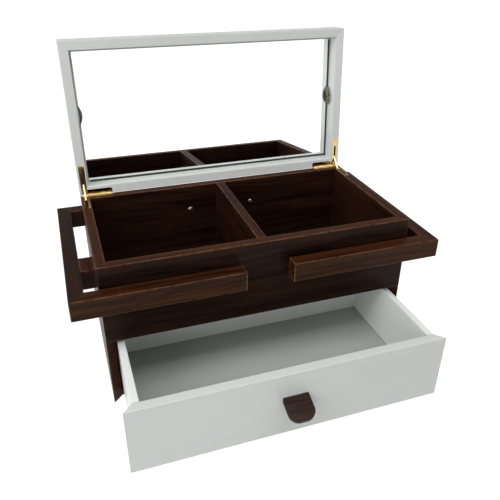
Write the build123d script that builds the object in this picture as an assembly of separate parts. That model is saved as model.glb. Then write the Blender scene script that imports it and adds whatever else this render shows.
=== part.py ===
from build123d import *
import math
import os

# Jewellery box with a mirror lid, two open compartments, a surrounding hand rail and one drawer.
# Millimetres. X runs along the box, Y from front to back, Z up. The origin is the middle of the
# underside. The lid stands open and the drawer is pulled out, as the box is shown.

os.makedirs("parts", exist_ok=True)

# How cutting shapes run past the faces they cut, and which edges count as whole ones
cut_past = 1.0
near_face = 1.0
whole_edge_share = 0.8
same_level = 0.01

# Case
case_width = 300.0
case_depth = 153.5
case_body_height = 150.0
felt_thickness = 1.0
wall = 9.0
wall_edge_radius = 0.5
divider_thickness = 9.0
floor_thickness = 3.5
floor_groove = 3.0
front_panel_lower_edge = 73.2
floor_above_panel_edge = 1.2
back_rebate = 3.0
rebate_below_floor = 1.0
base_thickness = 5.0
base_setback = 0.6
felt_inset = 9.0
runner_width = 7.0
runner_height = 1.3

# Hand rail round the case
rail_overhang_side = 25.6
rail_overhang_front = 17.4
rail_overhang_rear = 17.4
rail_width = 13.4
rail_height = 19.2
rail_below_rim = 18.0
rail_edge_radius = 0.9
front_opening_width = 45.4
side_spacer_length = 24.0
side_spacer_from_front = 29.8
rear_spacer_length = 20.0
rear_spacer_offset = 35.0
dowel_radius = 2.5
dowel_depth = 6.0
rear_screw_head_radius = 3.0
rear_screw_head = 1.8
rear_screw_radius = 1.6
rear_screw_length = 20.0
rear_screw_slot = 0.8

# Lid
lid_thickness = 24.0
lid_face_width = 9.2
lid_gap = 0.3
lid_edge_radius = 0.7
mirror_recess = 15.5
glass_thickness = 3.0
glass_margin = 2.4
seal_setback = 0.3
backing_thickness = 2.0
board_rebate = 4.0
lid_open_angle = 94.6
clip_radius = 11.5
clip_rise = 5.1
clip_height_on_lid = 80.5

# Corner hinges
leaf_width = 6.0
leaf_thickness = 1.5
leaf_inset = 1.8
leaf_corner_radius = 1.5
leaf_end_radius = 2.2
pivot_behind_case = 0.2
pivot_below_rim = 0.5
knuckle_radius = 2.0
knuckle_count = 5
knuckle_length = 6.0
knuckle_gap = 0.15
knuckle_from_side = 2.2
knuckle_relief = 0.35
web_overlap = 1.0
hinge_pin_radius = 0.9
pin_running_clearance = 0.05
hinge_screw_head_radius = 1.5
hinge_screw_radius = 0.9
hinge_screw_length = 6.5
hinge_screw_head_depth = 1.0
hinge_screw_slot = 0.5
hinge_screw_margin = 0.9
hinge_screw_inner_place = 13.0
hinge_screw_row_shift = 0.9

# Stay arms, which run in slots of the side leaves
arm_pivot_reach = 11.0
arm_pivot_depth = 2.4
arm_foot_reach = 8.3
arm_foot_depth = 1.5
arm_width = 2.0
arm_thickness = 1.2
arm_slot_width = 2.2
arm_slot_end_gap = 0.3
stay_pin_radius = 0.6
stay_pin_length = 4.6

# Drawer
drawer_travel = 86.5
drawer_front_thickness = 9.0
drawer_side_gap = 1.0
drawer_end_gap = 2.0
drawer_top_gap = 3.4
drawer_bottom_gap = 0.6
drawer_run_gap = 0.0
drawer_back_clearance = 0.5
drawer_wall = 6.4
drawer_back_thickness = 5.5
drawer_bottom_thickness = 3.0
drawer_bottom_rise = 3.1
drawer_groove = 3.0
drawer_edge_radius = 0.6
stop_width = 40.0
stop_thickness = 6.0
stop_drop = 11.0
stop_clearance = 0.3
stop_screw_radius = 1.3
stop_screw_head_radius = 2.6
stop_screw_head = 1.4
stop_screw_bite = 2.5

# Drawer pull, a flat tongue with a rounded end
pull_width = 25.0
pull_reach = 30.0
pull_thickness = 4.2
pull_corner_radius = 8.0
pull_height = 40.7
pull_droop = 9.0
pull_offset = 0.0
pull_edge_radius = 0.8
pull_screw_radius = 0.9
pull_screw_head_radius = 2.4
pull_screw_head = 1.8
pull_screw_spacing = 14.0
pull_screw_bite = 5.0

# Worked out from the sizes above
half_width = case_width / 2
half_depth = case_depth / 2
case_bottom = felt_thickness
rim = case_bottom + case_body_height
inner_x = half_width - wall
inner_y = half_depth - wall
floor_bottom = front_panel_lower_edge + floor_above_panel_edge
floor_top = floor_bottom + floor_thickness
base_top = case_bottom + base_thickness
rail_x = half_width + rail_overhang_side
rail_front = -half_depth - rail_overhang_front
rail_rear = half_depth + rail_overhang_rear
rail_top = rim - rail_below_rim
rail_bottom = rail_top - rail_height
pivot_y = half_depth + pivot_behind_case
pivot_z = rim - pivot_below_rim
hinge_axis = Axis((0, pivot_y, pivot_z), (1, 0, 0))
lid_low = rim + lid_gap
lid_top = lid_low + lid_thickness
glass_back = lid_low + mirror_recess + glass_thickness
board_x = half_width - lid_face_width + board_rebate
board_y = half_depth - lid_face_width + board_rebate
barrel_middle = -half_width + knuckle_from_side + knuckle_count * knuckle_length / 2
from_low_end = (Align.CENTER, Align.CENTER, Align.MIN)
from_high_end = (Align.CENTER, Align.CENTER, Align.MAX)

# Drawer, given where it stands pulled out
drawer_front_y = -half_depth - drawer_travel
drawer_top = front_panel_lower_edge - drawer_top_gap
drawer_low = case_bottom + drawer_bottom_gap
drawer_box_low = base_top + runner_height + drawer_run_gap
drawer_box_x = inner_x - drawer_side_gap
drawer_back_outer = inner_y + back_rebate - drawer_back_clearance - drawer_travel
drawer_back_inner = drawer_back_outer - drawer_back_thickness
drawer_wall_front = drawer_front_y + drawer_front_thickness
drawer_floor_low = drawer_box_low + drawer_bottom_rise
drawer_floor_top = drawer_floor_low + drawer_bottom_thickness

# The stay arm's eye turns on the lid; its foot slides along the side wall as the lid closes
open_turn = math.radians(-lid_open_angle)
eye_above_pivot = pivot_below_rim + lid_gap + arm_pivot_depth
eye_open_y = -arm_pivot_reach * math.cos(open_turn) - eye_above_pivot * math.sin(open_turn)
eye_open_z = -arm_pivot_reach * math.sin(open_turn) + eye_above_pivot * math.cos(open_turn)
arm_length = math.hypot(eye_open_y + arm_foot_reach, eye_open_z + arm_foot_depth)
foot_closed_drop = eye_above_pivot + arm_foot_depth
foot_closed_reach = arm_pivot_reach + math.sqrt(arm_length ** 2 - foot_closed_drop ** 2)
arm_slot_front = pivot_y - foot_closed_reach - arm_width / 2 - arm_slot_end_gap
arm_slope = math.atan2(eye_open_z + arm_foot_depth, eye_open_y + arm_foot_reach)
foot_below_rim = pivot_below_rim + arm_foot_depth
arm_slot_rear = (pivot_y - arm_foot_reach + foot_below_rim / math.tan(arm_slope)
                 + arm_width / 2 / math.sin(arm_slope) + arm_slot_end_gap)
leaf_leg = half_depth - arm_slot_front + 2 * (hinge_screw_margin + hinge_screw_head_radius)
arm_x = -half_width + leaf_inset + leaf_width / 2

# How far the arm reaches out of the lid's face before and behind its eye, shut and open
closed_slope = math.asin(foot_closed_drop / arm_length)
open_slope_in_lid = math.pi - arm_slope - math.radians(lid_open_angle)


def slot_reach(slope):
    """Along the lid's face, from the eye to where the arm's outer edge leaves the face."""
    return (arm_pivot_depth + arm_width / 2 / math.cos(slope)) / math.tan(slope) + arm_slot_end_gap


lid_slot_forward = slot_reach(closed_slope)
lid_slot_rearward = slot_reach(open_slope_in_lid)


def block(x0, x1, y0, y1, z0, z1):
    """A plain box between two corners."""
    return Pos((x0 + x1) / 2, (y0 + y1) / 2, (z0 + z1) / 2) * Box(x1 - x0, y1 - y0, z1 - z0)


def prism(points, z0, z1):
    """A flat outline in plan, raised from z0 to z1."""
    face = make_face(Polyline(*points, close=True))
    return Pos(0, 0, z0) * extrude(face, amount=z1 - z0, dir=(0, 0, 1))


def mirrored(shape):
    """The same piece on the other side of the middle."""
    return mirror(shape, about=Plane.YZ)


def along(shape, axis, length):
    """Straight edges of a shape that run along an axis and are nearly as long as stated."""
    return shape.edges().filter_by(axis).filter_by(lambda edge: edge.length > whole_edge_share * length)


def soften(shape, axis, length, radius, pick):
    """Round those long edges of a piece that pick accepts by their middle point."""
    chosen = [edge for edge in along(shape, axis, length) if pick(edge.center())]
    return fillet(chosen, radius) if chosen and radius > 0 else shape


def keep(shape, name):
    """Write one sub-part."""
    export_step(shape, f"parts/{name}.step")
    print(name, len(shape.solids()), round(shape.volume, 1))


def opened(shape):
    """Turn a piece of the closed lid back about the hinge axis to where it stands open."""
    return shape.rotate(hinge_axis, -lid_open_angle)


def wall_run_x(sign, z0, z1, long_side, thickness_in):
    """A wall along X whose ends are mitred at 45 degrees: front for sign -1, rear for sign 1."""
    outer = sign * long_side
    inner = sign * (long_side - thickness_in)
    points = [(-half_width, outer), (half_width, outer)]
    points += [(half_width - thickness_in, inner), (-half_width + thickness_in, inner)]
    return prism(points, z0, z1)


def side_wall():
    """The left wall over the full height, mitred at both ends."""
    points = [(-half_width, -half_depth), (-inner_x, -inner_y)]
    points += [(-inner_x, inner_y), (-half_width, half_depth)]
    shape = prism(points, case_bottom, rim)
    shape = soften(shape, Axis.Y, 2 * inner_y, wall_edge_radius, lambda c: c.Z > rim - near_face)
    shape -= floor_board(floor_groove)
    return shape


def floor_board(groove):
    """The board under the compartments, let into grooves of the four walls."""
    x = inner_x + groove
    y = inner_y + groove
    return block(-x, x, -y, y, floor_bottom, floor_top)


def front_wall():
    """The upper front panel, above the drawer."""
    shape = wall_run_x(-1, front_panel_lower_edge, rim, half_depth, wall)
    shape = soften(shape, Axis.X, 2 * inner_x, wall_edge_radius, lambda c: c.Z > rim - near_face)
    shape -= floor_board(floor_groove)
    shape -= divider_board(0.0)
    return shape


def rear_wall():
    """The back panel, thinner behind the drawer so that the drawer can go further in."""
    shape = wall_run_x(1, case_bottom, rim, half_depth, wall)
    shape = soften(shape, Axis.X, 2 * inner_x, wall_edge_radius, lambda c: c.Z > rim - near_face)
    shape -= floor_board(floor_groove)
    shape -= block(-inner_x, inner_x, inner_y - cut_past, inner_y + back_rebate, base_top,
                   floor_bottom - rebate_below_floor)
    return shape


def divider_board(extra):
    """The board between the compartments, flush with the rim."""
    half = divider_thickness / 2
    return block(-half, half, -inner_y, inner_y, floor_top, rim + extra)


def divider():
    """The divider with its two top edges eased."""
    shape = divider_board(0.0)
    return soften(shape, Axis.Y, 2 * inner_y, wall_edge_radius, lambda c: c.Z > rim - near_face)


def base_board():
    """The bottom of the case, behind the drawer front."""
    front = -half_depth + drawer_front_thickness + base_setback
    return block(-inner_x, inner_x, front, inner_y, case_bottom, base_top)


def felt():
    """The felt sheet glued under the case."""
    x = half_width - felt_inset
    return block(-x, x, -inner_y + base_setback, half_depth - felt_inset, 0, felt_thickness)


def runner():
    """The left wooden runner that a drawer wall slides on."""
    front = -half_depth + drawer_front_thickness + base_setback
    outer = -inner_x + drawer_side_gap
    return block(outer, outer + runner_width, front, inner_y, base_top, base_top + runner_height)


def drawer_stop():
    """The strip under the compartment floor that the drawer's back wall meets when pulled out."""
    rear = drawer_back_inner - stop_clearance
    half = stop_width / 2
    return block(-half, half, rear - stop_thickness, rear, floor_bottom - stop_drop, floor_bottom)


def stop_screw():
    """The screw up through the stop into the compartment floor."""
    middle = drawer_back_inner - stop_clearance - stop_thickness / 2
    low = floor_bottom - stop_drop
    head = Cylinder(stop_screw_head_radius, stop_screw_head, align=from_high_end)
    length = stop_drop + stop_screw_bite
    shank = Cylinder(stop_screw_radius, length, align=from_low_end)
    return Pos(0, middle, low) * (head + shank)


def rail_side():
    """The left rail, mitred at both ends."""
    inner = rail_x - rail_width
    points = [(-rail_x, rail_front), (-inner, rail_front + rail_width)]
    points += [(-inner, rail_rear - rail_width), (-rail_x, rail_rear)]
    shape = prism(points, rail_bottom, rail_top)
    return soften(shape, Axis.Y, rail_rear - rail_front - 2 * rail_width, rail_edge_radius, lambda c: True)


def rail_back():
    """The rear rail, mitred at both ends."""
    inner = rail_x - rail_width
    points = [(-rail_x, rail_rear), (rail_x, rail_rear)]
    points += [(inner, rail_rear - rail_width), (-inner, rail_rear - rail_width)]
    shape = prism(points, rail_bottom, rail_top)
    return soften(shape, Axis.X, 2 * inner, rail_edge_radius, lambda c: True)


def front_bar():
    """The left front bar, from its mitred corner to its square end beside the middle opening."""
    inner = rail_x - rail_width
    end = -front_opening_width / 2
    points = [(-rail_x, rail_front), (end, rail_front)]
    points += [(end, rail_front + rail_width), (-inner, rail_front + rail_width)]
    shape = prism(points, rail_bottom, rail_top)
    return soften(shape, Axis.X, inner + end, rail_edge_radius, lambda c: True)


def side_spacer():
    """The block between the case and the left rail."""
    front = -half_depth + side_spacer_from_front
    rear = front + side_spacer_length
    shape = block(-rail_x + rail_width, -half_width, front, rear, rail_bottom, rail_top)
    return shape - side_dowel()


def side_dowel():
    """The dowel through the left spacer into the case and the rail."""
    start = -rail_x + rail_width - dowel_depth
    length = dowel_depth + rail_overhang_side - rail_width + dowel_depth
    middle_y = -half_depth + side_spacer_from_front + side_spacer_length / 2
    middle_z = rail_bottom + rail_height / 2
    pin = Cylinder(dowel_radius, length, rotation=(0, 90, 0))
    return Pos(start + length / 2, middle_y, middle_z) * pin


def rear_spacer():
    """The block between the back panel and the rear rail, left of the middle."""
    half = rear_spacer_length / 2
    middle = -rear_spacer_offset
    shape = block(middle - half, middle + half, half_depth, rail_rear - rail_width, rail_bottom, rail_top)
    return shape - rear_screw()


def rear_screw(slotted=False):
    """The round-headed screw from inside the compartment through the back panel into the rail."""
    middle_z = rail_bottom + rail_height / 2
    shank = Cylinder(rear_screw_radius, rear_screw_length, align=from_low_end)
    room = 2 * rear_screw_head_radius
    dome = Sphere(rear_screw_head_radius) & block(-room, room, -room, room, -room, 0)
    head = scale(dome, by=(1, 1, rear_screw_head / rear_screw_head_radius))
    if slotted:
        slot = Box(room, rear_screw_slot, 2 * rear_screw_slot)
        head -= Pos(0, 0, -rear_screw_head) * slot
    return Pos(-rear_spacer_offset, inner_y, middle_z) * Rot(-90, 0, 0) * (shank + head)


def both_sides(pieces):
    """Several pieces and their mirror images as one group."""
    return Compound(children=pieces + [mirrored(piece) for piece in pieces])


def leaf_plate(z0, z1):
    """The flat L of the left hinge, let into the rim or the lid frame, flush with the rear."""
    x0 = -half_width + leaf_inset
    x1 = -half_width + leaf_leg
    y0 = half_depth - leaf_leg
    points = [(x0, half_depth), (x1, half_depth), (x1, half_depth - leaf_width)]
    points += [(x0 + leaf_width, half_depth - leaf_width), (x0 + leaf_width, y0), (x0, y0)]
    shape = prism(points, z0, z1)
    upright = [(edge, edge.center()) for edge in shape.edges().filter_by(Axis.Z)]
    ends = [edge for edge, c in upright if c.X > x1 - near_face or c.Y < y0 + near_face]
    shape = fillet(ends, leaf_end_radius)
    upright = [(edge, edge.center()) for edge in shape.edges().filter_by(Axis.Z)]
    corner = [edge for edge, c in upright if c.X < x0 + near_face and c.Y > half_depth - near_face]
    return fillet(corner, leaf_corner_radius)


def knuckle(index, radius, gap):
    """One knuckle of the left barrel, counted from the outer end."""
    start = -half_width + knuckle_from_side + index * knuckle_length
    length = knuckle_length - gap
    shape = Cylinder(radius, length, rotation=(0, 90, 0))
    return Pos(start + knuckle_length / 2, pivot_y, pivot_z) * shape


def barrel_relief():
    """The groove that clears the barrel in the back panel and in the lid's rear rail."""
    length = knuckle_count * knuckle_length + 2 * knuckle_gap
    shape = Cylinder(knuckle_radius + knuckle_relief, length, rotation=(0, 90, 0))
    return Pos(barrel_middle, pivot_y, pivot_z) * shape


def hinge_pin():
    """The left hinge pin, through all the knuckles."""
    shape = Cylinder(hinge_pin_radius, knuckle_count * knuckle_length, rotation=(0, 90, 0))
    return Pos(barrel_middle, pivot_y, pivot_z) * shape


def knuckle_web(index, low, high):
    """The tab that carries one knuckle from its leaf."""
    start = -half_width + knuckle_from_side + index * knuckle_length + knuckle_gap / 2
    return block(start, start + knuckle_length - knuckle_gap, half_depth - web_overlap, pivot_y, low, high)


def stay_arm():
    """The left stay arm: a flat bar with an eye at its lid end and a round foot."""
    eye = (pivot_y + eye_open_y, pivot_z + eye_open_z)
    foot = (pivot_y - arm_foot_reach, pivot_z - arm_foot_depth)
    middle = Pos(arm_x, (eye[0] + foot[0]) / 2, (eye[1] + foot[1]) / 2)
    bar = middle * Rot(math.degrees(arm_slope), 0, 0) * Box(arm_thickness, arm_length, arm_width)
    for y, z in (eye, foot):
        bar += Pos(arm_x, y, z) * Cylinder(arm_width / 2, arm_thickness, rotation=(0, 90, 0))
    hole = Cylinder(stay_pin_radius + pin_running_clearance, 2 * arm_thickness, rotation=(0, 90, 0))
    return bar - Pos(arm_x, *eye) * hole


def stay_pin():
    """The pin of the left stay arm, fixed in the lid, in the closed pose."""
    pin = Cylinder(stay_pin_radius, stay_pin_length, rotation=(0, 90, 0))
    return Pos(arm_x, pivot_y - arm_pivot_reach, lid_low + arm_pivot_depth) * pin


def arm_slot(z0, z1, y0, y1):
    """The slot that a stay arm runs in."""
    half = arm_slot_width / 2
    return block(arm_x - half, arm_x + half, y0, y1, z0, z1)


def case_arm_slot():
    """The slot in the side wall and its leaf."""
    low = pivot_z - arm_foot_depth - arm_width
    return arm_slot(low, rim + cut_past, arm_slot_front, arm_slot_rear)


def lid_arm_slot():
    """The slot in the lid's side and its leaf, in the closed pose."""
    eye = pivot_y - arm_pivot_reach
    high = lid_low + arm_pivot_depth + arm_width
    return arm_slot(lid_low - cut_past, high, eye - lid_slot_forward, eye + lid_slot_rearward)


def hinge_screw_places():
    """Where the screws of the left leaves are, in plan."""
    from_end = hinge_screw_margin + hinge_screw_head_radius
    rear_row = half_depth - leaf_width / 2 - hinge_screw_row_shift
    places = [(-half_width + hinge_screw_inner_place, rear_row)]
    places += [(-half_width + leaf_leg - from_end, rear_row), (arm_x, half_depth - leaf_leg + from_end)]
    return places


def hinge_screw(x, y, face, into, slotted):
    """A countersunk hinge screw with its head flush in a face, pointing up for into 1 or down for -1."""
    cone_height = hinge_screw_head_depth
    head = Cone(hinge_screw_head_radius, hinge_screw_radius, cone_height, align=from_low_end)
    shank = Cylinder(hinge_screw_radius, hinge_screw_length, align=from_low_end)
    screw = head + shank
    if slotted:
        screw -= Box(2 * hinge_screw_head_radius, hinge_screw_slot, 2 * hinge_screw_slot)
    turn = Rot(0, 0, 0) if into > 0 else Rot(180, 0, 0)
    return Pos(x, y, face) * turn * screw


def case_screws(slotted=False):
    """Screws of the left case leaf."""
    return [hinge_screw(x, y, rim, -1, slotted) for x, y in hinge_screw_places()]


def lid_screws(slotted=False):
    """Screws of the left lid leaf, in the closed pose."""
    return [hinge_screw(x, y, lid_low, 1, slotted) for x, y in hinge_screw_places()]


def case_leaf():
    """The left case leaf with its three knuckles."""
    shape = leaf_plate(rim - leaf_thickness, rim)
    for index in range(0, knuckle_count, 2):
        shape += knuckle_web(index, rim - leaf_thickness, rim)
        shape += knuckle(index, knuckle_radius, knuckle_gap)
    for index in range(1, knuckle_count, 2):
        shape -= knuckle(index, knuckle_radius + knuckle_relief, -2 * knuckle_gap)
    shape -= bored()
    shape -= case_arm_slot()
    for screw in case_screws():
        shape -= screw
    return shape


def lid_leaf():
    """The left lid leaf with its two knuckles, in the closed pose."""
    shape = leaf_plate(lid_low, lid_low + leaf_thickness)
    for index in range(1, knuckle_count, 2):
        shape += knuckle_web(index, lid_low, lid_low + leaf_thickness)
        shape += knuckle(index, knuckle_radius, knuckle_gap)
    for index in range(0, knuckle_count, 2):
        shape -= knuckle(index, knuckle_radius + knuckle_relief, -2 * knuckle_gap)
    shape -= bored()
    shape -= lid_arm_slot()
    for screw in lid_screws():
        shape -= screw
    return shape


def bored():
    """The bore through the barrel for the pin."""
    length = knuckle_count * knuckle_length + 2 * cut_past
    shape = Cylinder(hinge_pin_radius + pin_running_clearance, length, rotation=(0, 90, 0))
    return Pos(barrel_middle, pivot_y, pivot_z) * shape


def lid_frame_run_x(sign):
    """A rail of the lid frame along X in the closed pose, mitred, rebated for the boards."""
    outer = sign * half_depth
    inner = sign * (half_depth - lid_face_width)
    points = [(-half_width, outer), (half_width, outer)]
    points += [(half_width - lid_face_width, inner), (-half_width + lid_face_width, inner)]
    shape = prism(points, lid_low, lid_top)
    shape = soften(shape, Axis.X, 2 * (half_width - lid_face_width), lid_edge_radius, lambda c: True)
    return shape - lid_boards()


def lid_frame_side():
    """The left stile of the lid frame in the closed pose."""
    inner = half_width - lid_face_width
    inner_end = half_depth - lid_face_width
    points = [(-half_width, -half_depth), (-inner, -inner_end)]
    points += [(-inner, inner_end), (-half_width, half_depth)]
    shape = prism(points, lid_low, lid_top)
    shape = soften(shape, Axis.Y, 2 * inner_end, lid_edge_radius, lambda c: True)
    return shape - lid_boards()


def lid_boards():
    """The space of the backing board and the top panel in the lid frame."""
    return block(-board_x, board_x, -board_y, board_y, glass_back, lid_top + cut_past)


def mirror_glass():
    """The mirror, a little smaller than the opening so that a dark line shows round it."""
    x = half_width - lid_face_width - glass_margin
    y = half_depth - lid_face_width - glass_margin
    low = lid_low + mirror_recess
    return block(-x, x, -y, y, low, low + glass_thickness)


def mirror_seal():
    """The dark strip between the mirror and the lid frame."""
    x = half_width - lid_face_width
    y = half_depth - lid_face_width
    low = lid_low + mirror_recess + seal_setback
    ring = block(-x, x, -y, y, low, glass_back)
    return ring - mirror_glass()


def mirror_backing():
    """The dark board that the mirror is glued to."""
    return block(-board_x, board_x, -board_y, board_y, glass_back, glass_back + backing_thickness)


def lid_panel():
    """The outer panel of the lid."""
    return block(-board_x, board_x, -board_y, board_y, glass_back + backing_thickness, lid_top)


def mirror_clip():
    """The left half-dome clip, which stands on the mirror against the stile."""
    ball_radius = (clip_radius ** 2 + clip_rise ** 2) / (2 * clip_rise)
    face_x = -half_width + lid_face_width
    middle_y = half_depth - clip_height_on_lid
    glass_z = lid_low + mirror_recess
    ball = Pos(face_x + clip_rise - ball_radius, middle_y, glass_z) * Sphere(ball_radius)
    room = block(face_x, face_x + 2 * clip_rise, middle_y - 2 * clip_radius, middle_y + 2 * clip_radius,
                 lid_low, glass_z)
    return ball & room


def drawer_floor_board():
    """The bottom of the drawer, let into grooves on all four sides."""
    x = drawer_box_x - drawer_wall + drawer_groove
    rear = drawer_back_inner + drawer_groove
    return block(-x, x, drawer_wall_front - drawer_groove, rear, drawer_floor_low, drawer_floor_top)


def drawer_front():
    """The drawer front with its ends cut at 45 degrees to meet the mitred side walls."""
    outer = half_width - drawer_end_gap
    inner = outer - drawer_front_thickness
    points = [(-outer, drawer_front_y), (outer, drawer_front_y)]
    points += [(inner, drawer_wall_front), (-inner, drawer_wall_front)]
    shape = prism(points, drawer_low, drawer_top)
    shape = soften(shape, Axis.X, 2 * inner, drawer_edge_radius,
                   lambda c: c.Y < drawer_front_y + near_face or c.Z > drawer_top - near_face)
    shape -= drawer_floor_board()
    for screw in pull_screws():
        shape -= screw
    return shape


def drawer_side():
    """The left drawer wall."""
    inner = drawer_box_x - drawer_wall
    shape = block(-drawer_box_x, -inner, drawer_wall_front, drawer_back_outer, drawer_box_low, drawer_top)
    shape = soften(shape, Axis.Y, drawer_back_outer - drawer_wall_front, drawer_edge_radius,
                   lambda c: c.Z > drawer_top - near_face)
    return shape - drawer_floor_board()


def drawer_back():
    """The back wall of the drawer, between the side walls."""
    inner = drawer_box_x - drawer_wall
    shape = block(-inner, inner, drawer_back_inner, drawer_back_outer, drawer_box_low, drawer_top)
    return shape - drawer_floor_board()


def pull():
    """The tongue that the drawer is pulled by, drooping a little towards its end."""
    flat = RectangleRounded(pull_width, 2 * pull_reach, pull_corner_radius)
    shape = Pos(0, 0, -pull_thickness / 2) * extrude(flat, amount=pull_thickness, dir=(0, 0, 1))
    rims = [edge for edge in shape.edges() if abs(abs(edge.center().Z) - pull_thickness / 2) < same_level]
    shape = fillet(rims, pull_edge_radius)
    shape = Pos(pull_offset, drawer_front_y, pull_height) * Rot(pull_droop, 0, 0) * shape
    shape -= block(-half_width, half_width, drawer_front_y, drawer_front_y + 2 * pull_reach, 0, rim)
    for screw in pull_screws():
        shape -= screw
    return shape


def pull_screws():
    """The two screws from inside the drawer through the front into the tongue."""
    screws = []
    length = drawer_front_thickness + pull_screw_bite
    for side in (-1, 1):
        head = Cylinder(pull_screw_head_radius, pull_screw_head, align=from_high_end)
        shank = Cylinder(pull_screw_radius, length, align=from_low_end)
        screw = Rot(90, 0, 0) * (head + shank)
        x = pull_offset + side * pull_screw_spacing / 2
        screws.append(Pos(x, drawer_wall_front, pull_height) * screw)
    return screws


def build():
    """Make every sub-part and write it."""
    case_leaf_pocket = leaf_plate(rim - leaf_thickness, rim + cut_past)
    lid_leaf_pocket = leaf_plate(lid_low - cut_past, lid_low + leaf_thickness)

    left = side_wall() - case_leaf_pocket - case_arm_slot() - side_dowel() - barrel_relief()
    back = rear_wall() - rear_screw() - mirrored(rear_screw())
    for pocket in (case_leaf_pocket, barrel_relief(), case_arm_slot()):
        back = back - pocket - mirrored(pocket)
    for screw in case_screws():
        left -= screw
        back = back - screw - mirrored(screw)
    keep(front_wall(), "front_panel")
    keep(left, "left_side")
    keep(mirrored(left), "right_side")
    keep(back, "back_panel")
    keep(divider(), "divider")
    keep(floor_board(floor_groove) - stop_screw(), "compartment_floor")
    keep(base_board(), "base_panel")
    keep(felt(), "base_felt")
    keep(runner(), "runner_left")
    keep(mirrored(runner()), "runner_right")
    keep(drawer_stop() - stop_screw(), "drawer_stop")
    keep(stop_screw(), "stop_screw")

    rail = rail_side() - side_dowel()
    keep(rail, "rail_left")
    keep(mirrored(rail), "rail_right")
    keep(rail_back() - rear_screw() - mirrored(rear_screw()), "rail_rear")
    keep(front_bar(), "bar_front_left")
    keep(mirrored(front_bar()), "bar_front_right")
    keep(side_spacer(), "spacer_left")
    keep(mirrored(side_spacer()), "spacer_right")
    keep(rear_spacer(), "spacer_rear_left")
    keep(mirrored(rear_spacer()), "spacer_rear_right")
    keep(both_sides([side_dowel()]), "spacer_dowels")
    keep(both_sides([rear_screw(slotted=True)]), "rail_screws")

    rear_rail = lid_frame_run_x(1)
    for pocket in (lid_leaf_pocket, barrel_relief(), lid_arm_slot()):
        rear_rail = rear_rail - pocket - mirrored(pocket)
    stile = lid_frame_side() - lid_leaf_pocket - lid_arm_slot() - stay_pin() - barrel_relief()
    for screw in lid_screws():
        stile -= screw
        rear_rail = rear_rail - screw - mirrored(screw)
    keep(opened(lid_frame_run_x(-1)), "lid_front_rail")
    keep(opened(rear_rail), "lid_rear_rail")
    keep(opened(stile), "lid_left_stile")
    keep(opened(mirrored(stile)), "lid_right_stile")
    keep(opened(mirror_glass()), "mirror_glass")
    keep(opened(mirror_seal()), "mirror_seal")
    keep(opened(mirror_backing()), "mirror_backing")
    keep(opened(lid_panel()), "lid_panel")
    keep(opened(mirror_clip()), "mirror_clip_left")
    keep(opened(mirrored(mirror_clip())), "mirror_clip_right")

    keep(case_leaf(), "hinge_case_leaf_left")
    keep(mirrored(case_leaf()), "hinge_case_leaf_right")
    keep(opened(lid_leaf()), "hinge_lid_leaf_left")
    keep(opened(mirrored(lid_leaf())), "hinge_lid_leaf_right")
    keep(hinge_pin(), "hinge_pin_left")
    keep(mirrored(hinge_pin()), "hinge_pin_right")
    keep(stay_arm(), "stay_arm_left")
    keep(mirrored(stay_arm()), "stay_arm_right")
    keep(opened(both_sides([stay_pin()])), "stay_pins")
    keep(both_sides(case_screws(slotted=True)), "hinge_screws_case")
    keep(opened(both_sides(lid_screws(slotted=True))), "hinge_screws_lid")

    keep(drawer_front(), "drawer_front")
    keep(drawer_side(), "drawer_left_wall")
    keep(mirrored(drawer_side()), "drawer_right_wall")
    keep(drawer_back(), "drawer_back_wall")
    keep(drawer_floor_board(), "drawer_bottom")
    keep(pull(), "drawer_pull")
    keep(Compound(children=pull_screws()), "pull_screws")


build()
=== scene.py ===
import math

import bmesh
import bpy
from mathutils import Matrix, Vector


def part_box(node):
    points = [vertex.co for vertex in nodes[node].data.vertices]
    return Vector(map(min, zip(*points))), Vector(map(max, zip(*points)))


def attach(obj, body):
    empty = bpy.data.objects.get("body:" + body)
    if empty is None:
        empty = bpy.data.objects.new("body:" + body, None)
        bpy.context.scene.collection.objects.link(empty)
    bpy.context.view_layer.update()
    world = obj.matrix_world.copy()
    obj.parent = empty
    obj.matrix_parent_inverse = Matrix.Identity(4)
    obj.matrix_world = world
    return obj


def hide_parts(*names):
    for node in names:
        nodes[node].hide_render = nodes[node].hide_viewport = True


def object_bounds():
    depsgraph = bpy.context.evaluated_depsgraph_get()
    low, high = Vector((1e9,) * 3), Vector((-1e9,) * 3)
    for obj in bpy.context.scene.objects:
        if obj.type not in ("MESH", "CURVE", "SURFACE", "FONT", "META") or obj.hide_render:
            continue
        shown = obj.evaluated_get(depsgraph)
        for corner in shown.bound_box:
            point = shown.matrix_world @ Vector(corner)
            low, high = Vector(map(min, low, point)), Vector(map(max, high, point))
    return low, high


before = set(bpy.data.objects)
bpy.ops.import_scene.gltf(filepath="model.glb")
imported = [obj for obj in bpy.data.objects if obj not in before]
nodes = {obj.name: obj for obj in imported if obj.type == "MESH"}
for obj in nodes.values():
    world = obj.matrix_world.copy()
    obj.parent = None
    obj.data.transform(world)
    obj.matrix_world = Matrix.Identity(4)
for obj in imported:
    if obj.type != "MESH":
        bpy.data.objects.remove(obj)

cad_box = [list(corner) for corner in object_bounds()]

# %% [markdown]
# This file dresses a wooden jewellery box that is already built as a CAD model: a dark lacquered case
# with a hand rail round it, a white drawer, and a lid with a mirror that stands open on brass corner
# hinges. The CAD pieces keep their shapes, apart from the drawer's pull, which is made anew. Each cell
# adds one finish, a small piece or a light, and prints what it made, so the file can be read from top
# to bottom as a lesson.


def nodes_named(*starts):
    """The CAD pieces whose names begin with one of these words."""
    return [name for name in sorted(nodes) if name.startswith(starts)]


def corners_of(name):
    """The lowest and highest corner of a CAD piece at rest."""
    low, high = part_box(name)
    return tuple(low), tuple(high)


whole_size = Vector(cad_box[1]) - Vector(cad_box[0])
print("CAD pieces:", len(nodes), "box in mm:", [round(1000 * v) for v in whole_size])

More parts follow.
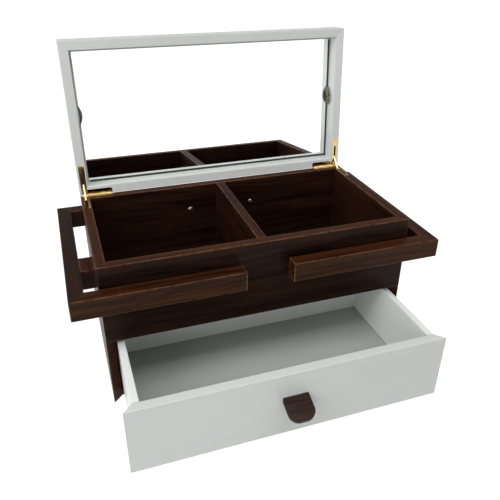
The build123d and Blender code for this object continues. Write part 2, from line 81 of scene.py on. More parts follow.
# %% [markdown]
# The camera comes first, because every later choice is judged through it. The box is seen from the
# front left and from well above, so the view shows into the compartments and the drawer. The place,
# the turn and the lens were found from the edges of the box, whose real sizes are known from the CAD
# model. A camera looks along its own -Z, so it is tipped up from the floor first and then turned.

# %% Camera
camera_place = Vector((-0.16151, -0.49501, 0.39592))
camera_turn = math.radians(-19.337)
camera_tip = math.radians(90 - 29.510)
camera_roll = math.radians(0.596)
film_width = 36.0
lens_in_pixels = 566.03
picture_pixels = 500
nearest_seen = 0.01

lens = bpy.data.cameras.new("camera")
lens.sensor_width = film_width
lens.lens = lens_in_pixels * film_width / picture_pixels
lens.clip_start = nearest_seen
camera = bpy.data.objects.new("camera", lens)
bpy.context.collection.objects.link(camera)
turn = Matrix.Rotation(camera_turn, 4, "Z") @ Matrix.Rotation(camera_tip, 4, "X")
turn = turn @ Matrix.Rotation(camera_roll, 4, "Z")
camera.matrix_world = Matrix.Translation(camera_place) @ turn
bpy.context.scene.camera = camera
bpy.context.scene.view_settings.view_transform = "Standard"
print("camera at", [round(v, 3) for v in camera_place], "lens", round(lens.lens, 1), "mm")

# %% [markdown]
# Lacquer, painted wood, a mirror and polished brass all show what is round them, so the room matters
# as much as the lamps. The world is a white sweep round the box that fades into a dim ceiling: the low
# white fills the mirror, and the dim ceiling keeps a white haze off the lacquer. The fade runs on the
# height of the direction that is looked in, from 0 at the horizon to 1 straight up.

# %% World
room_white = (1.0, 1.0, 1.0, 1)
sweep_strength = 1.15
ceiling_strength = 0.36
sweep_ends = 0.06
ceiling_starts = 0.30

world = bpy.data.worlds.new("white sweep")
world.use_nodes = True
bpy.context.scene.world = world
room = world.node_tree
background = room.nodes["Background"]
background.inputs["Color"].default_value = room_white
looking = room.nodes.new("ShaderNodeTexCoord")
apart = room.nodes.new("ShaderNodeSeparateXYZ")
room.links.new(looking.outputs["Generated"], apart.inputs[0])
fade = room.nodes.new("ShaderNodeMapRange")
fade.interpolation_type = "SMOOTHSTEP"
for label, number in (("From Min", sweep_ends), ("From Max", ceiling_starts),
                      ("To Min", sweep_strength), ("To Max", ceiling_strength)):
    fade.inputs[label].default_value = number
room.links.new(apart.outputs["Z"], fade.inputs["Value"])
room.links.new(fade.outputs["Result"], background.inputs["Strength"])
print("world:", world.name, "strength", sweep_strength, "low down and", ceiling_strength, "above")

# %% [markdown]
# A long soft lamp hangs overhead and a little in front. It lights the upper faces and draws a bright
# line along each rounded edge and hinge barrel. Two square lamps stand on the left, one at the side and
# one low in front, and make the left of every piece lighter than its right. Area lamps give the soft
# shadows of a studio, and a large one far away is softer than a small one near by.

# %% Lamps


def add_lamp(name, place, target, length, width, watts):
    """A soft lamp with an oblong face that looks at a point of the box."""
    lamp = bpy.data.lights.new(name, "AREA")
    lamp.shape = "RECTANGLE"
    lamp.size = length
    lamp.size_y = width
    lamp.energy = watts
    holder = bpy.data.objects.new(name, lamp)
    bpy.context.collection.objects.link(holder)
    aim = (Vector(target) - Vector(place)).to_track_quat("-Z", "Y")
    holder.matrix_world = Matrix.Translation(place) @ aim.to_matrix().to_4x4()
    return holder


lamps = [
    add_lamp("overhead lamp", (0.0, -0.44, 1.25), (0.0, -0.05, 0.10), length=2.2, width=0.45, watts=10.6),
    add_lamp("side lamp", (-0.95, -0.40, 0.70), (0.0, 0.0, 0.10), length=0.5, width=0.5, watts=4.0),
    add_lamp("low lamp", (-0.75, -1.10, 0.35), (0.0, -0.1, 0.08), length=0.6, width=0.6, watts=2.5),
]
print("lamps:", [lamp.name for lamp in lamps])

# %% [markdown]
# A material is a tree of nodes, and building one in code takes the same few moves again and again: add
# a node, set or wire its inputs, and go on with its output. The class below wraps each move in one
# line, so the materials further down read as a list of what is mixed with what.

# %% Small tools for building node trees


class Tree:
    """A thin wrapper that adds a node, feeds its inputs and hands back its output."""

    def __init__(self, tree):
        self.tree = tree

    def add(self, kind, **settings):
        node = self.tree.nodes.new("ShaderNode" + kind)
        for key, value in settings.items():
            setattr(node, key, value)
        return node

    def wire(self, source, target):
        self.tree.links.new(source, target)

    def feed(self, socket, value):
        """Wires an output to an input, or sets the input to a value."""
        if isinstance(value, bpy.types.NodeSocket):
            self.wire(value, socket)
        elif value is not None:
            socket.default_value = value

    def put(self, node, **values):
        for key, value in values.items():
            self.feed(node.inputs[key.replace("_", " ")], value)
        return node

    def use(self, group, **values):
        """Places a shader group and feeds its inputs."""
        node = self.add("Group")
        node.node_tree = group
        return self.put(node, **values)

    def place(self):
        """The point of the surface, in the object's own coordinates."""
        return self.add("TexCoord").outputs["Object"]

    def math(self, operation, first, second=None):
        node = self.add("Math", operation=operation)
        self.feed(node.inputs[0], first)
        self.feed(node.inputs[1], second)
        return node.outputs[0]

    def vector(self, operation, first, second=None):
        node = self.add("VectorMath", operation=operation)
        self.feed(node.inputs[0], first)
        self.feed(node.inputs["Scale"] if operation == "SCALE" else node.inputs[1], second)
        return node.outputs["Value" if operation in ("DOT_PRODUCT", "LENGTH") else "Vector"]

    def noise(self, vector, scale, detail=3.0, roughness=0.5, distortion=0.0):
        node = self.add("TexNoise")
        self.put(node, Vector=vector, Scale=scale, Detail=detail, Roughness=roughness, Distortion=distortion)
        return node.outputs["Fac"]

    def span(self, value, from_low, from_high, to_low=0.0, to_high=1.0, smooth=False):
        """Maps one range of a value onto another, and holds it at the ends."""
        node = self.add("MapRange", clamp=True)
        node.interpolation_type = "SMOOTHSTEP" if smooth else "LINEAR"
        ends = {"From Min": from_low, "From Max": from_high, "To Min": to_low, "To Max": to_high}
        for label, number in ends.items():
            self.feed(node.inputs[label], number)
        self.wire(value, node.inputs["Value"])
        return node.outputs["Result"]

    def mix(self, mask, first, second, blend="MIX"):
        node = self.add("Mix", data_type="RGBA", blend_type=blend)
        self.feed(node.inputs["Factor"], mask)
        self.feed(node.inputs[6], first)
        self.feed(node.inputs[7], second)
        return node.outputs[2]

    def times(self, mask, share):
        """A mask made weaker by a share."""
        return self.math("MULTIPLY", mask, share)

    def bump(self, shader, height, strength, distance):
        """Lets a height turn the surface's normal a little."""
        node = self.add("Bump")
        self.put(node, Height=height, Strength=strength, Distance=distance)
        self.wire(node.outputs["Normal"], shader.inputs["Normal"])


def new_group(name, inputs, outputs):
    """An empty shader group, its tree, its start and its end; inputs are (name, kind, value)."""
    group = bpy.data.node_groups.new(name, "ShaderNodeTree")
    for label, kind, value in inputs:
        socket = group.interface.new_socket(label, in_out="INPUT", socket_type="NodeSocket" + kind)
        socket.default_value = value
    for label, kind in outputs:
        group.interface.new_socket(label, in_out="OUTPUT", socket_type="NodeSocket" + kind)
    return group, Tree(group), group.nodes.new("NodeGroupInput"), group.nodes.new("NodeGroupOutput")


print("node tools:", [name for name in vars(Tree) if not name.startswith("_")])

# %% [markdown]
# Materials read the object's own coordinates. All the CAD pieces share one origin, so a pattern on
# these coordinates lies where it should on every piece and moves with it when the lid or drawer moves.
# On a real plank the grain has three scales: broad bands of lighter and darker wood, narrow streaks,
# and very fine pores. The group below stretches the coordinates along the chosen direction, so that
# round noise becomes long lines, bends them a little so that the lines wander, and puts out one mask
# for each scale. The dark boards, the waxed wood and the polishing lines on metal all use it, so it is
# a node group, built once.

# %% Wood grain group
wander_scale = 9.0
wander_reach = 0.012
shrink_along = 0.955
band_scale = 55.0
streak_scale = 260.0
pore_scale = 1400.0

grain, tree, start, end = new_group(
    "wood grain",
    [("Along", "Vector", (1.0, 0.0, 0.0)), ("Shift", "Vector", (0.0, 0.0, 0.0)), ("Scale", "Float", 1.0)],
    [("Bands", "Float"), ("Streaks", "Float"), ("Pores", "Float")],
)
moved = tree.vector("ADD", tree.place(), start.outputs["Shift"])
wander = tree.put(tree.add("TexNoise"), Vector=moved, Scale=wander_scale, Detail=1.0)
centred = tree.vector("SUBTRACT", wander.outputs["Color"], (0.5, 0.5, 0.5))
bent = tree.vector("ADD", moved, tree.vector("SCALE", centred, wander_reach))
# Most of the part of the place that lies along the grain is taken away
length_along = tree.vector("DOT_PRODUCT", bent, start.outputs["Along"])
taken = tree.vector("SCALE", start.outputs["Along"], tree.times(length_along, -shrink_along))
drawn = tree.vector("SCALE", tree.vector("ADD", bent, taken), start.outputs["Scale"])
bands = tree.noise(drawn, band_scale, 2.0, 0.5, 0.4)
streaks = tree.noise(drawn, streak_scale, 3.0, 0.6)
pores = tree.noise(drawn, pore_scale, 2.0, 0.6)
tree.wire(tree.span(bands, 0.32, 0.68, smooth=True), end.inputs["Bands"])
tree.wire(tree.span(streaks, 0.35, 0.68), end.inputs["Streaks"])
tree.wire(tree.span(pores, 0.52, 0.70), end.inputs["Pores"])
print("group:", grain.name, "nodes", len(grain.nodes))

# %% [markdown]
# Two more groups ask where a point lies in a box of space. Lacquer and paint wear thin first where two
# faces meet, and a board's own box tells where that is: a point is on an edge when it is close to the
# box's limit in two directions at once. The first group puts out that mask, broken up by noise. One
# board may also have two kinds of face, such as a side's outer face and its face in a compartment. The
# second group gives 1 where a point lies in a box and 0 outside it, so that a tone can change there;
# most of its uses paint light and shade into a colour.

# %% Edge wear and inside groups
wear_width = 0.0012
chip_scale = 160.0
box_inputs = [("Low", "Vector", (0.0, 0.0, 0.0)), ("High", "Vector", (1.0, 1.0, 1.0))]


def depth_in_box(tree, start):
    """How far a point lies inside a box in X, Y and Z, below 0 where it is outside."""
    place = tree.place()
    above = tree.vector("SUBTRACT", place, start.outputs["Low"])
    below = tree.vector("SUBTRACT", start.outputs["High"], place)
    split = tree.add("SeparateXYZ")
    tree.wire(tree.vector("MINIMUM", above, below), split.inputs[0])
    return [split.outputs[axis] for axis in "XYZ"]


wear, tree, start, end = new_group(
    "edge wear", box_inputs + [("Width", "Float", wear_width)], [("Wear", "Float")])
near = [tree.span(depth, 0.0, start.outputs["Width"], 1.0, 0.0) for depth in depth_in_box(tree, start)]
pairs = [tree.math("MULTIPLY", near[i], near[(i + 1) % 3]) for i in range(3)]
most = tree.math("MAXIMUM", tree.math("MAXIMUM", pairs[0], pairs[1]), pairs[2])
broken = tree.span(tree.noise(tree.place(), chip_scale, 4.0, 0.65), 0.34, 0.56)
tree.wire(tree.math("MULTIPLY", most, broken), end.inputs["Wear"])

inside, tree, start, end = new_group("inside", box_inputs, [("Mask", "Float")])
depths = depth_in_box(tree, start)
least = tree.math("MINIMUM", tree.math("MINIMUM", depths[0], depths[1]), depths[2])
tree.wire(tree.math("GREATER_THAN", least, 0.0), end.inputs["Mask"])


def in_box(tree, box):
    """A mask that is 1 in a box of space, given by its two corners."""
    return tree.use(inside, Low=box[0], High=box[1]).outputs["Mask"]


print("groups:", wear.name, "and", inside.name)

# %% [markdown]
# Handled gloss surfaces are never evenly glossy: there is a little dust, faint wiping marks and soft
# smudges. This group gives one broad, soft mask and one fine speckle. The materials use them weakly,
# so that they only move the roughness or the tone a little.

# %% Handling marks group
smudge_scale = 14.0
dust_scale = 2600.0

marks, tree, start, end = new_group(
    "handling marks", [("Scale", "Float", 1.0)], [("Smudge", "Float"), ("Dust", "Float")])
sized = tree.vector("SCALE", tree.place(), start.outputs["Scale"])
smudge = tree.span(tree.noise(sized, smudge_scale, 4.0, 0.6, 0.6), 0.40, 0.70, smooth=True)
dust = tree.span(tree.noise(sized, dust_scale, 1.0, 0.5), 0.66, 0.74)
tree.wire(smudge, end.inputs["Smudge"])
tree.wire(dust, end.inputs["Dust"])
print("group:", marks.name)

# %% [markdown]
# Every material starts from Blender's Principled shader, and every CAD piece gets one material in all
# its slots. These two small jobs come back for each finish, so each has a function.

# %% Helpers for materials


def blank_material(name):
    """A new material with its tree and its shader at hand."""
    material = bpy.data.materials.new(name)
    material.use_nodes = True
    return material, Tree(material.node_tree), material.node_tree.nodes["Principled BSDF"]


def dress(name, material):
    """Gives one CAD piece a material in all its slots."""
    mesh = nodes[name].data
    if not mesh.materials:
        mesh.materials.append(material)
    for index in range(len(mesh.materials)):
        mesh.materials[index] = material


print("pieces to dress:", len(nodes))

# %% [markdown]
# The dark boards are walnut-like wood under clear lacquer. The colour lives in the wood below: bands
# from near-black brown to red-brown, with lighter streaks, dark pores and edges worn to a tan. The
# room is dark above, so the lacquer shows hardly any haze, and its clear coat is thin here for the same
# reason. The compartments get painted shade: what lies in their box of space is multiplied by a darker,
# cooler tone, as if shadowed by their walls.

# %% Lacquered wood
wood_dark = (0.0100, 0.0033, 0.0016, 1)
wood_middle = (0.039, 0.0112, 0.0038, 1)
wood_light = (0.074, 0.0205, 0.0062, 1)
wood_worn = (0.21, 0.100, 0.048, 1)
# Painted shade: what lies in the compartments is multiplied by this darker, cooler tone.
inside_painted_shade = (0.58, 0.74, 1.10, 1)
compartments = ((-0.1413, -0.0681, 0.0740), (0.1413, 0.0681, 0.1503))
streak_share = 0.65
pore_share = 0.55
wear_share = 0.7
wood_rough_low, wood_rough_high = 0.34, 0.46
smudge_roughness = 0.08
wood_shine = 0.06
coat_weight = 0.04
coat_roughness = 0.05
coat_ior = 1.5


def lacquered_wood(name, along, shift, corners, tint_and_painted_light=None, painted_light_box=None):
    """Dark wood with grain along one direction under a clear coat, multiplied all over or in one box by the
    pull's own tint or a board's painted light and shade.
    """
    material, tree, shader = blank_material(name)
    figure = tree.use(grain, Along=along, Shift=shift, Scale=1.0).outputs
    hands = tree.use(marks, Scale=1.0).outputs
    edges = tree.use(wear, Low=corners[0], High=corners[1], Width=wear_width).outputs
    colour = tree.mix(figure["Bands"], wood_dark, wood_middle)
    colour = tree.mix(tree.times(figure["Streaks"], streak_share), colour, wood_light)
    colour = tree.mix(tree.times(figure["Pores"], pore_share), colour, wood_dark)
    colour = tree.mix(tree.times(edges["Wear"], wear_share), colour, wood_worn)
    # The multiplier is the pull's own tone; on the case's boards it is painted light and shade.
    if tint_and_painted_light:
        where = in_box(tree, painted_light_box) if painted_light_box else 1.0
        colour = tree.mix(where, colour, tree.mix(1.0, colour, (*tint_and_painted_light, 1), "MULTIPLY"))
    # Painted shade in the compartments, as if shadowed by their walls.
    shaded_inside = tree.mix(1.0, colour, inside_painted_shade, "MULTIPLY")
    colour = tree.mix(in_box(tree, compartments), colour, shaded_inside)
    tree.wire(colour, shader.inputs["Base Color"])
    rough = tree.span(figure["Streaks"], 0.0, 1.0, wood_rough_low, wood_rough_high)
    smudged = tree.math("ADD", rough, tree.times(hands["Smudge"], smudge_roughness))
    tree.wire(smudged, shader.inputs["Roughness"])
    tree.put(shader, Specular_IOR_Level=wood_shine, Coat_Weight=coat_weight,
             Coat_Roughness=coat_roughness, Coat_IOR=coat_ior)
    height = tree.math("SUBTRACT", figure["Streaks"], figure["Pores"])
    tree.bump(shader, height, 0.10, 0.0004)
    return material


print("wood tones:", wood_dark[:3], wood_middle[:3], wood_light[:3])

# %% [markdown]
# Each board gets its own grain direction and its own part of the pattern, so that neighbours don't
# match like printed paper. Some faces get painted light and shade on top of their board's colour: the
# case's front and the two legs beside the drawer are painted darker and cooler, as shade and a grey
# reflection, and the front bars are painted paler in front than on top, as a reflection of the white
# floor and drawer. A thin box round a front face picks it out. The compartments' floor and the rail on
# the left are painted darker and cooler all over, as shade.

# %% Dark boards
along_x = (1.0, 0.0, 0.0)
along_y = (0.0, 1.0, 0.0)
wood_along_x = ["front_panel", "back_panel", "compartment_floor", "rail_rear", "bar_front_left",
                "bar_front_right", "drawer_stop", "base_panel"]
wood_along_y = ["left_side", "right_side", "divider", "rail_left", "rail_right", "spacer_left",
                "spacer_right", "spacer_rear_left", "spacer_rear_right"]
skin = 0.0004
outside = 0.001


def board_shift(number):
    """A different part of the grain for each board."""
    return (0.37 * number, 0.61 * number, 0.23 * number)


def front_of(name, top):
    """A thin box of space round the front face of a board, up to a height."""
    low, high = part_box(name)
    return ((low[0] - outside, low[1] - outside, low[2] - outside), (high[0] + outside, low[1] + skin, top))


rim_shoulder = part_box("front_panel")[1][2] - outside
bar_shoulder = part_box("bar_front_left")[1][2] - outside
drawer_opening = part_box("front_panel")[0][2]
# Painted light and shade on front faces: the legs are darker and cooler, as shade and a grey reflection; the
# bars are paler, as a reflection of the white floor and drawer.
leg_painted_shade = (0.60, 0.85, 1.30)
bar_painted_reflection = (1.10, 1.50, 1.80)
# Painted shade on the case's front, its legs, the compartments' floor and the left rail; painted reflection
# on the bars' fronts.
board_painted_light = {
    "front_panel": ((0.46, 0.66, 1.00), front_of("front_panel", rim_shoulder)),
    "left_side": (leg_painted_shade, front_of("left_side", drawer_opening)),
    "right_side": (leg_painted_shade, front_of("right_side", drawer_opening)),
    "bar_front_left": (bar_painted_reflection, front_of("bar_front_left", bar_shoulder)),
    "bar_front_right": (bar_painted_reflection, front_of("bar_front_right", bar_shoulder)),
    "compartment_floor": ((0.55, 0.72, 0.80), None),
    "rail_left": ((0.44, 0.58, 0.90), None),
}
for number, name in enumerate(wood_along_x + wood_along_y):
    along = along_x if name in wood_along_x else along_y
    tint_and_painted_light, painted_light_box = board_painted_light.get(name, (None, None))
    dress(name, lacquered_wood("wood " + name, along, board_shift(number), corners_of(name), tint_and_painted_light, painted_light_box))
print("lacquered boards:", len(wood_along_x) + len(wood_along_y))

# %% [markdown]
# The drawer's pull is a flat wooden tongue with a round end that droops towards its tip. The one in
# the CAD model is longer and droops less than the real one, so this one stands for it. A block is drawn
# out to the tongue's size, its two far corners are rounded by a wide bevel, and a narrow bevel eases
# the rims. It is then turned by its droop and moved to the drawer front, and what would lie in the
# front is cut off by a bisecting plane, so that it seats flat.

# %% Choosing edges by their place
pull_reach = 0.0228
pull_spare = 0.005
same_place = 0.00001


def choose_edges(piece, wanted):
    """Selects the edges of a piece in edit mode whose two ends pass a test."""
    mesh = bmesh.from_edit_mesh(piece.data)
    for edge in mesh.edges:
        edge.select_set(wanted(edge.verts[0].co, edge.verts[1].co))
    mesh.select_flush_mode()
    bmesh.update_edit_mesh(piece.data)


def far_corner(first, second):
    """An upright edge at the tongue's tip."""
    upright = abs(first.z - second.z) > same_place
    return upright and max(first.y, second.y) < -pull_reach + same_place


def tongue_rim(first, second):
    """An edge of the top or bottom face, apart from the one at the drawer."""
    level = abs(first.z - second.z) < same_place
    return level and min(first.y, second.y) < pull_spare - same_place


print("length of the tongue outside the drawer:", round(1000 * pull_reach, 1), "mm")

# %% [markdown]
# The block is made at the origin and reaches along -Y, so the place where the tongue meets the drawer
# front is at the origin too, and the tongue can be turned about it. Its object stays there, unturned
# and unscaled, and only its points move. The turn is given as negative, because without a window the
# operator turns the other way.

# %% Drawer pull
pull_width = 0.0244
pull_thickness = 0.0058
pull_corner = 0.0092
pull_rim = 0.0010
pull_droop = math.radians(20.0)
pull_place = Vector((-0.0014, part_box("drawer_front")[0][1], 0.0418))
pull_tint = (0.72, 1.35, 2.90)
pull_grain = 21
smooth_below = math.radians(35)
tongue_length = pull_reach + pull_spare

bpy.ops.object.select_all(action="DESELECT")
bpy.ops.mesh.primitive_cube_add(size=1.0, location=(0, 0, 0))
drawer_tongue = bpy.context.object
drawer_tongue.name = "drawer_tongue"
bpy.ops.object.mode_set(mode="EDIT")
bpy.context.tool_settings.mesh_select_mode = (False, True, False)
bpy.ops.transform.resize(value=(pull_width, tongue_length, pull_thickness))
bpy.ops.transform.translate(value=(0, pull_spare - tongue_length / 2, 0))
choose_edges(drawer_tongue, far_corner)
bpy.ops.mesh.bevel(offset=pull_corner, segments=14)
choose_edges(drawer_tongue, tongue_rim)
bpy.ops.mesh.bevel(offset=pull_rim, segments=4)
bpy.ops.mesh.select_all(action="SELECT")
bpy.ops.transform.rotate(value=-pull_droop, orient_axis="X", center_override=(0, 0, 0))
bpy.ops.transform.translate(value=pull_place)
bpy.ops.mesh.bisect(plane_co=pull_place, plane_no=(0, 1, 0), use_fill=True, clear_outer=True)
bpy.ops.mesh.select_all(action="SELECT")
bpy.ops.mesh.normals_make_consistent(inside=False)
bpy.ops.object.mode_set(mode="OBJECT")
bpy.ops.object.shade_smooth_by_angle(angle=smooth_below)

points = [corner.co for corner in drawer_tongue.data.vertices]
tongue_low = tuple(min(point[axis] for point in points) for axis in range(3))
tongue_high = tuple(max(point[axis] for point in points) for axis in range(3))
drawer_tongue.data.materials.append(
    lacquered_wood("wood pull", along_x, board_shift(pull_grain), (tongue_low, tongue_high), pull_tint))
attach(drawer_tongue, "drawer")
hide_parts("drawer_pull")
print("drawer pull from", [round(1000 * v, 1) for v in tongue_low],
      "to", [round(1000 * v, 1) for v in tongue_high], "mm")

# %% [markdown]
# The lid frame and the drawer are painted off-white. Sprayed paint has a faint orange-peel surface, a
# soft sheen and a thin spot on the edges. The colour moves very slightly, as paint does over wood. Each
# piece is also made lighter or darker by a level of painted light and shade. In the slots that the
# stay arms swing in, the wood is bare and painted dark as shade, and a dark line of painted shadow runs
# round the drawer's floor where it enters its grooves. Both are masks from a box of space.

# %% White paint
paint_white = (0.65, 0.67, 0.655, 1)
paint_shade = (0.63, 0.65, 0.635, 1)
paint_worn = (0.42, 0.39, 0.34, 1)
# Bare wood in the stay arms' slots, painted dark as shade.
slot_bare_in_shade = (0.045, 0.034, 0.022, 1)
# A dark line of painted shadow where the drawer's floor meets its walls.
joint_painted_shadow = (0.10, 0.10, 0.095, 1)
paint_wear_width = 0.0009
paint_wear_share = 0.22
paint_dust_share = 0.12
cloud_scale = 12.0
peel_scale = 900.0


def white_paint(name, painted_light_and_shade=1.0, rough_low=0.30, rough_high=0.35, shaded_bare_box=None, shadow_line_box=None):
    """Semi-gloss white paint over wood with a level of painted light and shade, bare and painted dark as
    shade in one box, with a painted shadow line outside another.
    """
    material, tree, shader = blank_material("paint " + name)
    low, high = corners_of(name)
    place = tree.place()
    hands = tree.use(marks, Scale=1.3).outputs
    edges = tree.use(wear, Low=low, High=high, Width=paint_wear_width).outputs
    cloud = tree.noise(place, cloud_scale, 2.0, 0.5)
    colour = tree.mix(tree.span(cloud, 0.3, 0.7), paint_white, paint_shade)
    colour = tree.mix(tree.times(edges["Wear"], paint_wear_share), colour, paint_worn)
    colour = tree.mix(tree.times(hands["Dust"], paint_dust_share), colour, paint_worn)
    # Painted light and shade: the whole piece is made lighter or darker by its level.
    colour = tree.mix(1.0, colour, (painted_light_and_shade, painted_light_and_shade, painted_light_and_shade, 1), "MULTIPLY")
    # Painted shade: the bare wood in the slots is dark, as if in shadow.
    if shaded_bare_box:
        colour = tree.mix(in_box(tree, shaded_bare_box), colour, slot_bare_in_shade)
    # Painted shadow: a dark line round the drawer's floor where it enters its grooves.
    if shadow_line_box:
        colour = tree.mix(in_box(tree, shadow_line_box), joint_painted_shadow, colour)
    tree.wire(colour, shader.inputs["Base Color"])
    tree.wire(tree.span(hands["Smudge"], 0.0, 1.0, rough_low, rough_high), shader.inputs["Roughness"])
    tree.bump(shader, tree.noise(place, peel_scale, 2.0, 0.5), 0.03, 0.0002)
    return material


print("paint tones:", paint_white[:3], paint_shade[:3])

# %% [markdown]
# The frame pieces of the lid are painted a little greyer than the drawer front, as shade. The insides
# of the drawer are duller; its walls are painted paler, as light, and its floor darker, as shade. The
# floor is a thin sheet let into grooves.

# %% Painted pieces
# Levels of painted shade for the lid's frame pieces.
outside_painted_shade = {"drawer_front": 1.0, "lid_panel": 1.0, "lid_front_rail": 0.83, "lid_rear_rail": 0.92,
                 "lid_left_stile": 0.83, "lid_right_stile": 0.93}
slot_inner, slot_outer = 0.1439, 0.1465
slot_back, slot_front = 0.0870, 0.0765
slot_bottom, slot_top = 0.1500, 0.1830
slot_of = {
    "lid_left_stile": ((-slot_outer, slot_front, slot_bottom), (-slot_inner, slot_back, slot_top)),
    "lid_right_stile": ((slot_inner, slot_front, slot_bottom), (slot_outer, slot_back, slot_top)),
}
for name, painted_light_and_shade in outside_painted_shade.items():
    dress(name, white_paint(name, painted_light_and_shade, shaded_bare_box=slot_of.get(name)))

# Levels of painted light for the drawer's walls and painted shade for its floor.
inside_painted_light_and_shade = {"drawer_left_wall": 1.28, "drawer_right_wall": 1.28, "drawer_back_wall": 1.28,
                "drawer_bottom": 0.67}
# Width of the painted shadow line round the drawer's floor.
joint = 0.0005
floor_clear = (
    (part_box("drawer_left_wall")[1][0] + joint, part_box("drawer_front")[1][1] + joint, 0.0),
    (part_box("drawer_right_wall")[0][0] - joint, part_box("drawer_back_wall")[0][1] - joint,
     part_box("drawer_bottom")[1][2] + joint),
)
for name, painted_light_and_shade in inside_painted_light_and_shade.items():
    shadow_line_box = floor_clear if name == "drawer_bottom" else None
    dress(name, white_paint(name, painted_light_and_shade, 0.40, 0.46, shadow_line_box=shadow_line_box))
print("painted pieces:", len(outside_painted_shade) + len(inside_painted_light_and_shade))

# %% [markdown]
# The mirror is silvered glass. Its colour is all reflection, so it is a metal with almost no roughness,
# and a little dust and a few faint wiping marks are what keep it from looking like a hole.

# %% Mirror
silver = (0.980, 0.988, 0.984, 1)
silver_dusty = (0.7, 0.7, 0.7, 1)


def mirror_glass():
    """Silvered glass with a little dust and faint wiping marks."""
    material, tree, shader = blank_material("silvered glass")
    hands = tree.use(marks, Scale=0.8).outputs
    tree.wire(tree.mix(tree.times(hands["Dust"], 0.10), silver, silver_dusty), shader.inputs["Base Color"])
    tree.wire(tree.span(hands["Smudge"], 0.0, 1.0, 0.004, 0.02), shader.inputs["Roughness"])
    shader.inputs["Metallic"].default_value = 1.0
    return material


dress("mirror_glass", mirror_glass())
print("mirror dressed")

# %% [markdown]
# Rubber, hardboard and felt are quiet materials: their colour and gloss move a little at one scale,
# and a slow cloud over the fine speckle keeps them from looking printed. One function makes all three.
# The sealing strip round the mirror is green-black rubber, but it is painted pale along its left and
# upper runs, as light falling on them, so the function can also paint a lighter tone on what lies in
# some boxes of space.

# %% Sealing strip and backing board
seal_tones = ((0.026, 0.040, 0.036, 1), (0.014, 0.021, 0.018, 1))
board_tones = ((0.16, 0.095, 0.055, 1), (0.09, 0.05, 0.03, 1))
# Painted light on the strip's left and upper runs.
strip_painted_light = (0.45, 0.46, 0.45, 1)
strip_width = 0.0035
specks_in_cloud = 12
cloud_share = 0.4


def plain_speckled(name, tones, rough_low, rough_high, grit, sheen=0.0, lit_tone=None, lit_boxes=()):
    """A quiet material with speckles of the given fineness, painted lighter in some boxes, as light."""
    material, tree, shader = blank_material(name)
    place = tree.place()
    speck = tree.noise(place, grit, 4.0, 0.6)
    cloud = tree.noise(place, grit / specks_in_cloud, 2.0, 0.5)
    colour = tree.mix(tree.span(speck, 0.3, 0.7), *tones)
    colour = tree.mix(tree.times(tree.span(cloud, 0.4, 0.7), cloud_share), colour, tones[1])
    # Painted light: what lies in these boxes takes the lighter tone.
    for box in lit_boxes:
        colour = tree.mix(in_box(tree, box), colour, lit_tone)
    tree.wire(colour, shader.inputs["Base Color"])
    tree.wire(tree.span(speck, 0.3, 0.7, rough_low, rough_high), shader.inputs["Roughness"])
    shader.inputs["Sheen Weight"].default_value = sheen
    tree.bump(shader, speck, 0.15, 0.0002)
    return material


strip_low, strip_high = corners_of("mirror_seal")
left_run = ((strip_low[0] - outside, 0.0, 0.0), (strip_low[0] + strip_width, 1.0, 1.0))
upper_run = ((-1.0, 0.0, strip_high[2] - strip_width), (1.0, 1.0, 1.0))
seal = plain_speckled(
    "sealing strip", seal_tones, 0.35, 0.55, 900.0, lit_tone=strip_painted_light, lit_boxes=(left_run, upper_run))
dress("mirror_seal", seal)
dress("mirror_backing", plain_speckled("hardboard", board_tones, 0.6, 0.8, 700.0))
print("seal and backing dressed")

# %% [markdown]
# The hinge leaves and stay arms are polished brass with hair-fine polishing lines. The two screws
# inside the compartments are dull nickel, and the pins and hidden screws are plain steel. The grain
# group gives the polishing lines here, at three times its fineness.

# %% Metals
metal_fineness = 3.0
metal_shift = (0.2, 0.1, 0.4)


def polished_metal(name, bright, tarnish, rough_low, rough_high, lines):
    """A bright metal with fine polishing lines and a trace of tarnish."""
    material, tree, shader = blank_material(name)
    streaks = tree.use(grain, Along=lines, Shift=metal_shift, Scale=metal_fineness).outputs["Streaks"]
    smudge = tree.use(marks, Scale=5.0).outputs["Smudge"]
    tree.wire(tree.mix(tree.times(smudge, 0.35), bright, tarnish), shader.inputs["Base Color"])
    tree.wire(tree.span(streaks, 0.0, 1.0, rough_low, rough_high), shader.inputs["Roughness"])
    shader.inputs["Metallic"].default_value = 1.0
    tree.bump(shader, streaks, 0.03, 0.00005)
    return material


brass = polished_metal("polished brass", (0.66, 0.50, 0.26, 1), (0.40, 0.28, 0.12, 1), 0.04, 0.10, along_x)
nickel = polished_metal("dull nickel", (0.36, 0.35, 0.33, 1), (0.22, 0.21, 0.20, 1), 0.25, 0.40, along_y)
steel = polished_metal("plain steel", (0.55, 0.54, 0.52, 1), (0.35, 0.34, 0.33, 1), 0.25, 0.40, along_x)
for name in nodes_named("hinge_case_leaf", "hinge_lid_leaf", "hinge_screws", "stay_arm"):
    dress(name, brass)
for name in nodes_named("rail_screws"):
    dress(name, nickel)
for name in nodes_named("hinge_pin", "stay_pins", "stop_screw", "pull_screws"):
    dress(name, steel)
print("metals:", brass.name, nickel.name, steel.name)

# %% [markdown]
# Two round clips hold the mirror's edge. They are small domes of speckled plastic, painted black in
# the middle as a dark reflection, and with a thin pale rim. The right clip faces the lamps on the left
# and gets a lighter, lit copy of the speckle; the left one gets a darker, shaded copy. The tone follows
# how far a point is from the dome's middle, measured in Y and Z alone and divided by the dome's radius,
# so that 1 is the rim.

# %% Mirror clips
# Painted dark reflection in the middle of each dome.
clip_painted_dark_reflection = (0.004, 0.004, 0.004, 1)
clip_rim = (0.45, 0.45, 0.42, 1)
clip_grit = 750.0
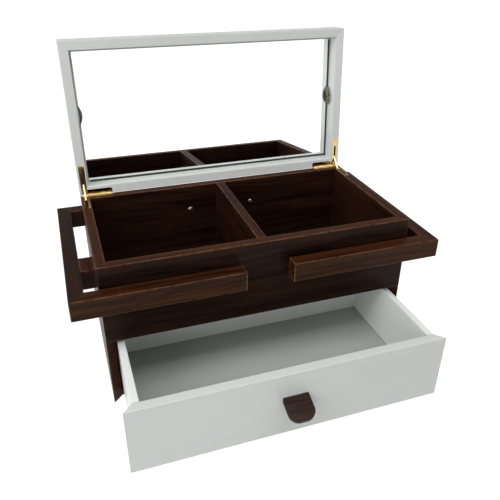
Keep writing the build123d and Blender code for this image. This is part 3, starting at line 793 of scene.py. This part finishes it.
# Painted light and shade: a lit copy of the speckle for the right clip, a shaded copy for the left.
clip_lit_and_shaded_specks = {
    "mirror_clip_left": ((0.060, 0.063, 0.054, 1), (0.022, 0.023, 0.020, 1)),
    "mirror_clip_right": ((0.270, 0.260, 0.190, 1), (0.022, 0.022, 0.016, 1)),
}


def clip_plastic(name):
    """Speckled plastic, painted black in the middle of the dome as a dark reflection, and paler towards its
    rim.
    """
    material, tree, shader = blank_material("plastic " + name)
    low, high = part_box(name)
    middle = (0.0, high[1], (low[2] + high[2]) / 2)
    radius = (high[2] - low[2]) / 2
    place = tree.place()
    across = tree.vector("MULTIPLY", tree.vector("SUBTRACT", place, middle), (0.0, 1.0, 1.0))
    outward = tree.math("DIVIDE", tree.vector("LENGTH", across), radius)
    speck = tree.noise(place, clip_grit, 3.0, 0.6)
    colour = tree.mix(tree.span(speck, 0.44, 0.56), *clip_lit_and_shaded_specks[name])
    # Painted dark reflection in the dome's middle, the speckle further out.
    colour = tree.mix(tree.span(outward, 0.42, 0.66, smooth=True), clip_painted_dark_reflection, colour)
    colour = tree.mix(tree.span(outward, 0.93, 0.97), colour, clip_rim)
    tree.wire(colour, shader.inputs["Base Color"])
    tree.wire(tree.span(speck, 0.3, 0.7, 0.40, 0.55), shader.inputs["Roughness"])
    shader.inputs["Specular IOR Level"].default_value = 0.2
    tree.bump(shader, speck, 0.15, 0.0002)
    return material


for name in clip_lit_and_shaded_specks:
    dress(name, clip_plastic(name))
print("clips:", list(clip_lit_and_shaded_specks))

# %% [markdown]
# Felt under the case is short dark wool: fully rough, with a fibre-like speckle and a soft sheen at a
# low angle. The drawer's runners and the dowels are plain waxed wood, with the same grain group in
# pale tones.

# %% Felt, runners and dowels
felt_tones = ((0.020, 0.030, 0.024, 1), (0.010, 0.015, 0.012, 1))
beech_pale = (0.42, 0.27, 0.15, 1)
beech_dark = (0.30, 0.18, 0.09, 1)
beech_shift = (0.5, 0.2, 0.9)
beech_fineness = 1.4
dress("base_felt", plain_speckled("felt", felt_tones, 0.85, 1.0, 2400.0, sheen=0.3))

beech, tree, shader = blank_material("waxed beech")
figure = tree.use(grain, Along=along_y, Shift=beech_shift, Scale=beech_fineness).outputs
tree.wire(tree.mix(figure["Streaks"], beech_pale, beech_dark), shader.inputs["Base Color"])
tree.wire(tree.span(figure["Pores"], 0.0, 1.0, 0.45, 0.6), shader.inputs["Roughness"])
for name in nodes_named("runner", "spacer_dowels"):
    dress(name, beech)
print("felt and plain wood dressed")

# %% [markdown]
# The floor is one sheet of white acrylic, lit from below as on a photographer's light table, so that it
# stays white right up to the box and in the mirror. The glow is only for the eye and for reflections:
# it would otherwise light the box from below.

# %% Floor
floor_size = 24.0
floor_glow = (0.87, 0.87, 0.87, 1)
no_glow = (0, 0, 0, 1)
acrylic_tones = ((0.40, 0.40, 0.40, 1), (0.42, 0.42, 0.42, 1))
acrylic_cloud = 40.0

bpy.ops.object.select_all(action="DESELECT")
bpy.ops.mesh.primitive_plane_add(size=floor_size, location=(0, 0, 0))
floor = bpy.context.object
floor.name = "floor"
acrylic, tree, shader = blank_material("white acrylic")
cloud = tree.noise(tree.place(), acrylic_cloud, 3.0, 0.5)
tree.wire(tree.mix(cloud, *acrylic_tones), shader.inputs["Base Color"])
shader.inputs["Roughness"].default_value = 0.9
path = tree.add("LightPath")
seen = tree.math("MAXIMUM", path.outputs["Is Camera Ray"], path.outputs["Is Glossy Ray"])
tree.wire(tree.mix(seen, no_glow, floor_glow), shader.inputs["Emission Color"])
shader.inputs["Emission Strength"].default_value = 1.0
floor.data.materials.append(acrylic)
print("floor", floor_size, "m wide")

# %% [markdown]
# Last, a count shows that no piece was left without a finish.

# %% Finish count
undressed = [name for name in nodes if name != "drawer_pull" and not nodes[name].data.materials]
print("pieces without a material:", undressed)
